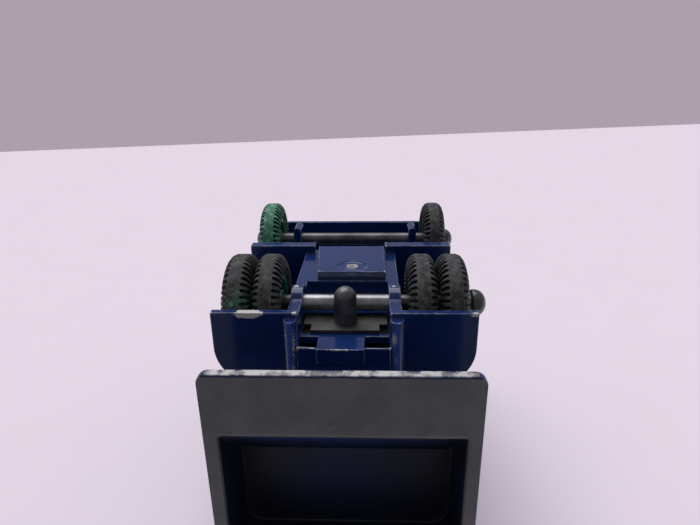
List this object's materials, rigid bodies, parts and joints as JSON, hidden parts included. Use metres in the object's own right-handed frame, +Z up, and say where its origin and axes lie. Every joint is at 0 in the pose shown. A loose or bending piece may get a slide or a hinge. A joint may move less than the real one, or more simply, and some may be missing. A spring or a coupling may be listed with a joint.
{
  "type": "toy site dumper",
  "caption": "Die-cast toy site dumper with a forward-tipping skip, twin front wheels, single rear wheels, bonnet, seat and steering wheel.",
  "frame": {"origin": "on the ground, on the centre plane of the chassis, midway between the two axles", "axes": "+Z up; -Y forward, towards the skip; +X towards the driver's left"},
  "size_m": [0.0551, 0.0788, 0.0594],
  "materials": {
    "blue_paint": "dark royal blue gloss paint over die-cast zinc, chipped to bare metal on the edges",
    "skip_paint": "dark royal blue gloss paint, with a silver-grey lip and rim",
    "steel": "dull bare steel",
    "plate_steel": "dull grey steel plate",
    "rivet_paint": "painted over with the chassis, bare in the dimple",
    "hub_paint": "green paint",
    "black_paint": "black paint",
    "tyre_rubber": "dusty grey-black rubber with green overspray"
  },
  "bodies": {
    "chassis": {"chassis": "blue_paint", "bonnet": "blue_paint", "seat": "blue_paint", "steering_column": "steel", "skip_pivot_pin": "steel", "keeper_plate": "plate_steel", "keeper_stud": "steel", "sump_rivet": "rivet_paint"},
    "skip": {"skip": "skip_paint"},
    "steering_wheel": {"steering_wheel": "black_paint"},
    "front_axle": {"front_axle": "steel"},
    "rear_axle": {"rear_axle": "steel"},
    "wheel_front_left_outer": {"hub_front_left_outer": "hub_paint", "tyre_front_left_outer": "tyre_rubber"},
    "wheel_front_left_inner": {"hub_front_left_inner": "hub_paint", "tyre_front_left_inner": "tyre_rubber"},
    "wheel_front_right_inner": {"hub_front_right_inner": "hub_paint", "tyre_front_right_inner": "tyre_rubber"},
    "wheel_front_right_outer": {"hub_front_right_outer": "hub_paint", "tyre_front_right_outer": "tyre_rubber"},
    "wheel_rear_left": {"hub_rear_left": "hub_paint", "tyre_rear_left": "tyre_rubber"},
    "wheel_rear_right": {"hub_rear_right": "hub_paint", "tyre_rear_right": "tyre_rubber"}
  },
  "joints": [
    {"name": "skip_tip", "type": "hinge", "parent": "chassis", "child": "skip", "pos_m": [0, -0.03304, 0.03], "axis": [-1, 0, 0], "range_deg": [0, 90]},
    {"name": "steering_turn", "type": "hinge", "parent": "chassis", "child": "steering_wheel", "pos_m": [0, 0.00469, 0.03479], "axis": [0, 0.4067, 0.9135], "continuous": true},
    {"name": "front_axle_play", "type": "slide", "parent": "chassis", "child": "front_axle", "axis": [1, 0, 0], "range_m": [0, 0.0024]},
    {"name": "rear_axle_play", "type": "slide", "parent": "chassis", "child": "rear_axle", "axis": [1, 0, 0], "range_m": [0, 0.0008]},
    {"name": "front_left_outer_spin", "type": "hinge", "parent": "chassis", "child": "wheel_front_left_outer", "pos_m": [0, -0.021, 0.01], "axis": [1, 0, 0], "continuous": true},
    {"name": "front_left_inner_spin", "type": "hinge", "parent": "chassis", "child": "wheel_front_left_inner", "pos_m": [0, -0.021, 0.01], "axis": [1, 0, 0], "continuous": true},
    {"name": "front_right_inner_spin", "type": "hinge", "parent": "chassis", "child": "wheel_front_right_inner", "pos_m": [0, -0.021, 0.01], "axis": [1, 0, 0], "continuous": true},
    {"name": "front_right_outer_spin", "type": "hinge", "parent": "chassis", "child": "wheel_front_right_outer", "pos_m": [0, -0.021, 0.01], "axis": [1, 0, 0], "continuous": true},
    {"name": "rear_left_spin", "type": "hinge", "parent": "chassis", "child": "wheel_rear_left", "pos_m": [0, 0.021, 0.01], "axis": [1, 0, 0], "continuous": true},
    {"name": "rear_right_spin", "type": "hinge", "parent": "chassis", "child": "wheel_rear_right", "pos_m": [0, 0.021, 0.01], "axis": [1, 0, 0], "continuous": true}
  ]
}
